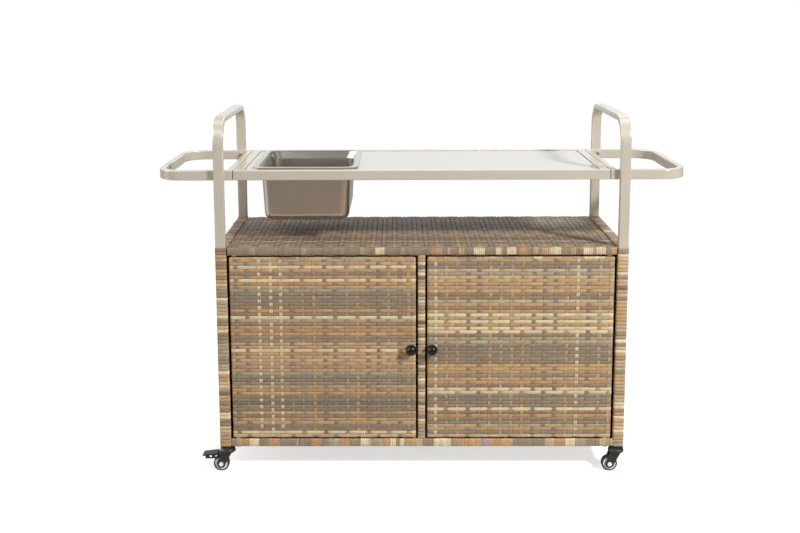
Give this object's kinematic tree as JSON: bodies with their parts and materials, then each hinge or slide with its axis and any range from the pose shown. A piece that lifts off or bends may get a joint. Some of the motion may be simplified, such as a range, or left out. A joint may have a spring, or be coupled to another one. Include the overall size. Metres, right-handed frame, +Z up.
{
  "type": "rattan bar cart",
  "caption": "Rolling bar cart: bent-tube end arches, glass counter with a lift-out steel pan, towel loops and a woven cabinet with hinged doors.",
  "frame": {"origin": "on the floor, in the middle of the cart's overall box", "axes": "+X to the right along the counter, +Y to the back away from the doors, +Z up"},
  "size_m": [1.32, 0.4465, 0.909],
  "materials": {
    "frame_paint": "satin",
    "rattan_wrap": "satin",
    "rattan_weave": "satin",
    "counter_glass": "glossy",
    "pan_steel": "brushed",
    "bolt_steel": "satin",
    "black_bolts": "satin",
    "knob_black": "glossy",
    "black_plastic": "satin",
    "caster_tyre": "matte",
    "wheel_white": "satin",
    "pad_rubber": "matte"
  },
  "bodies": {
    "cart": {"left_arch": "frame_paint", "right_arch": "frame_paint", "side_rails": "frame_paint", "front_bottom_rail": "frame_paint", "centre_mullion": "frame_paint", "front_left_post_wrap": "rattan_wrap", "front_right_post_wrap": "rattan_wrap", "back_left_post_wrap": "rattan_wrap", "back_right_post_wrap": "rattan_wrap", "side_rail_wraps": "rattan_wrap", "bottom_rail_wrap": "rattan_wrap", "mullion_wrap": "rattan_wrap", "shelf_panel": "rattan_weave", "bottom_panel": "rattan_weave", "back_panel": "rattan_weave", "left_side_panel": "rattan_weave", "right_side_panel": "rattan_weave", "panel_bolts": "black_bolts", "panel_spacers": "black_plastic", "counter_frame": "frame_paint", "counter_glass": "counter_glass", "glass_pads": "pad_rubber", "left_loop": "frame_paint", "right_loop": "frame_paint", "loop_bolts": "bolt_steel", "pivot_pins": "bolt_steel", "pivot_washers": "bolt_steel", "door_catches": "black_plastic", "caster_sockets": "black_plastic"},
    "left_door": {"left_door_frame": "frame_paint", "left_door_weave": "rattan_weave", "left_door_bushings": "black_plastic", "left_knob": "knob_black", "left_knob_screw": "bolt_steel", "left_strike": "bolt_steel"},
    "right_door": {"right_door_frame": "frame_paint", "right_door_weave": "rattan_weave", "right_door_bushings": "black_plastic", "right_knob": "knob_black", "right_knob_screw": "bolt_steel", "right_strike": "bolt_steel"},
    "pan": {"steel_pan": "pan_steel"},
    "front_left_swivel": {"front_left_fork": "black_plastic", "front_left_axle": "bolt_steel"},
    "front_left_rolling_wheel": {"front_left_wheel": "wheel_white", "front_left_tyre": "caster_tyre"},
    "front_left_brake": {"front_left_pedal": "black_plastic"},
    "front_right_swivel": {"front_right_fork": "black_plastic", "front_right_axle": "bolt_steel"},
    "front_right_rolling_wheel": {"front_right_wheel": "wheel_white", "front_right_tyre": "caster_tyre"},
    "back_left_swivel": {"back_left_fork": "black_plastic", "back_left_axle": "bolt_steel"},
    "back_left_rolling_wheel": {"back_left_wheel": "wheel_white", "back_left_tyre": "caster_tyre"},
    "back_left_brake": {"back_left_pedal": "black_plastic"},
    "back_right_swivel": {"back_right_fork": "black_plastic", "back_right_axle": "bolt_steel"},
    "back_right_rolling_wheel": {"back_right_wheel": "wheel_white", "back_right_tyre": "caster_tyre"}
  },
  "joints": [
    {"name": "left_door_hinge", "type": "hinge", "parent": "cart", "child": "left_door", "pos_m": [-0.4675, -0.18525, 0.327], "axis": [0, 0, -1], "range_deg": [0, 115]},
    {"name": "right_door_hinge", "type": "hinge", "parent": "cart", "child": "right_door", "pos_m": [0.4675, -0.18525, 0.327], "axis": [0, 0, 1], "range_deg": [0, 115]},
    {"name": "pan_lift", "type": "slide", "parent": "cart", "child": "pan", "axis": [0, 0, 1], "range_m": [0, 0.18]},
    {"name": "front_left_swivel_turn", "type": "hinge", "parent": "cart", "child": "front_left_swivel", "pos_m": [-0.496, -0.18775, 0.0595], "axis": [0, 0, 1], "continuous": true},
    {"name": "front_left_wheel_roll", "type": "hinge", "parent": "front_left_swivel", "child": "front_left_rolling_wheel", "pos_m": [-0.5125, -0.18775, 0.02], "axis": [0, 1, 0], "continuous": true},
    {"name": "front_left_brake_press", "type": "hinge", "parent": "front_left_swivel", "child": "front_left_brake", "pos_m": [-0.502, -0.18775, 0.04525], "axis": [0, -1, 0], "range_deg": [0, 8]},
    {"name": "front_right_swivel_turn", "type": "hinge", "parent": "cart", "child": "front_right_swivel", "pos_m": [0.496, -0.18775, 0.0595], "axis": [0, 0, 1], "continuous": true},
    {"name": "front_right_wheel_roll", "type": "hinge", "parent": "front_right_swivel", "child": "front_right_rolling_wheel", "pos_m": [0.4795, -0.18775, 0.02], "axis": [0, 1, 0], "continuous": true},
    {"name": "back_left_swivel_turn", "type": "hinge", "parent": "cart", "child": "back_left_swivel", "pos_m": [-0.496, 0.20325, 0.0595], "axis": [0, 0, 1], "continuous": true},
    {"name": "back_left_wheel_roll", "type": "hinge", "parent": "back_left_swivel", "child": "back_left_rolling_wheel", "pos_m": [-0.5125, 0.20325, 0.02], "axis": [0, 1, 0], "continuous": true},
    {"name": "back_left_brake_press", "type": "hinge", "parent": "back_left_swivel", "child": "back_left_brake", "pos_m": [-0.502, 0.20325, 0.04525], "axis": [0, -1, 0], "range_deg": [0, 8]},
    {"name": "back_right_swivel_turn", "type": "hinge", "parent": "cart", "child": "back_right_swivel", "pos_m": [0.496, 0.20325, 0.0595], "axis": [0, 0, 1], "continuous": true},
    {"name": "back_right_wheel_roll", "type": "hinge", "parent": "back_right_swivel", "child": "back_right_rolling_wheel", "pos_m": [0.4795, 0.20325, 0.02], "axis": [0, 1, 0], "continuous": true}
  ]
}
